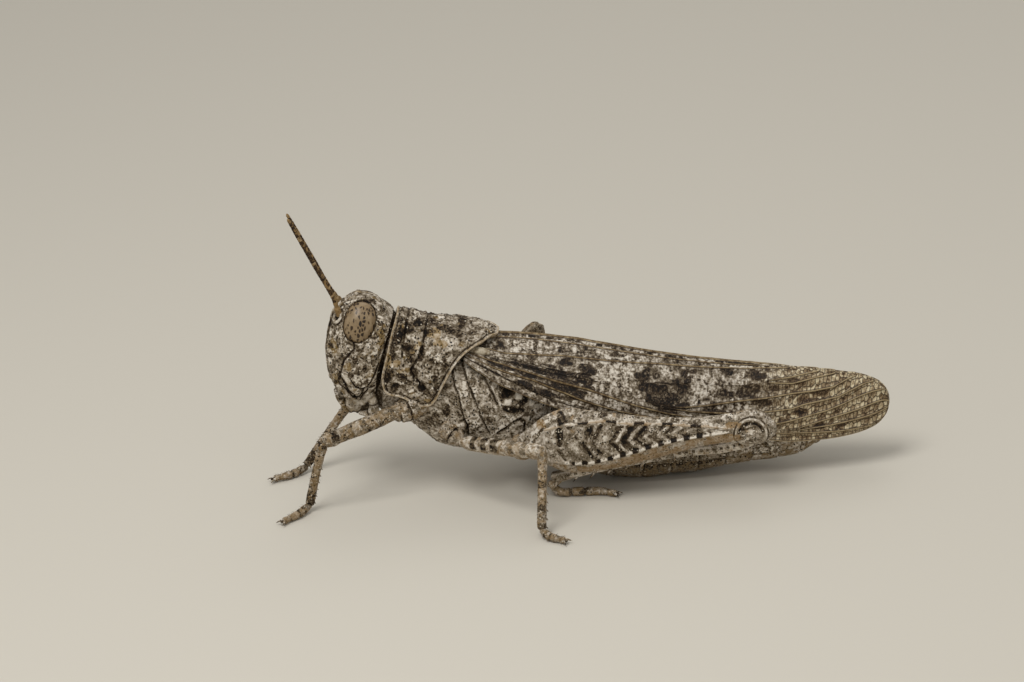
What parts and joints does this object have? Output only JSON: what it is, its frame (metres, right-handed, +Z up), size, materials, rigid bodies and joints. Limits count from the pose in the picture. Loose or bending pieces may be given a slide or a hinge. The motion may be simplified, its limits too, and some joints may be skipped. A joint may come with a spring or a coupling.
{
  "type": "band-winged grasshopper",
  "caption": "Life-size resting short-horned grasshopper with folded banded wings, saddle-shaped pronotum and bent jumping legs.",
  "frame": {"origin": "on the body's midplane at floor level, at the flat where the belly rests on the floor", "axes": "+Z up from the floor, -X towards the head, +X towards the wing tips, -Y the insect's own left side"},
  "size_m": [0.0389, 0.0204, 0.0186],
  "materials": {
    "plate": "matt speckled grey-brown sclerite with cream, ochre and near-black mottling",
    "abdomen": "matt grey-brown abdominal and thoracic cuticle",
    "fore_wing": "leathery fore wing, pale veins, dark cross bands",
    "hind_wing": "folded translucent-looking membrane, kept opaque",
    "leg": "matt speckled grey-beige leg cuticle with dark rings",
    "hind_femur": "matt grey-beige femur with fishbone ridges and dashed keels",
    "mouthparts": "pale grey-beige mouth plates",
    "eye": "satin ochre-brown compound eye with small dark spots",
    "feeler": "matt dark brown feeler with pale rings"
  },
  "bodies": {
    "root": {"eye_left": "eye", "eye_right": "eye", "pronotum": "plate", "antenna_left": "feeler", "antenna_right": "feeler", "head": "plate", "labrum": "mouthparts", "mandible_left": "mouthparts", "palps_left": "mouthparts", "tegmen_left": "fore_wing", "hind_wing_left": "hind_wing", "cercus_left": "abdomen", "mandible_right": "mouthparts", "palps_right": "mouthparts", "tegmen_right": "fore_wing", "hind_wing_right": "hind_wing", "cercus_right": "abdomen", "front_coxa_left": "leg", "front_femur_left": "leg", "front_tibia_left": "leg", "front_tarsus_left": "leg", "front_coxa_right": "leg", "front_femur_right": "leg", "front_tibia_right": "leg", "front_tarsus_right": "leg", "mid_coxa_left": "leg", "mid_femur_left": "leg", "mid_tibia_left": "leg", "mid_tarsus_left": "leg", "mid_coxa_right": "leg", "mid_femur_right": "leg", "mid_tibia_right": "leg", "mid_tarsus_right": "leg", "hind_tibia_left": "leg", "hind_tarsus_left": "leg", "hind_femur_left": "hind_femur", "hind_coxa_left": "leg", "hind_tibia_right": "leg", "hind_tarsus_right": "leg", "hind_femur_right": "hind_femur", "hind_coxa_right": "leg", "ovipositor": "abdomen", "prothorax": "abdomen", "pterothorax": "plate", "abdomen": "abdomen"}
  },
  "joints": []
}
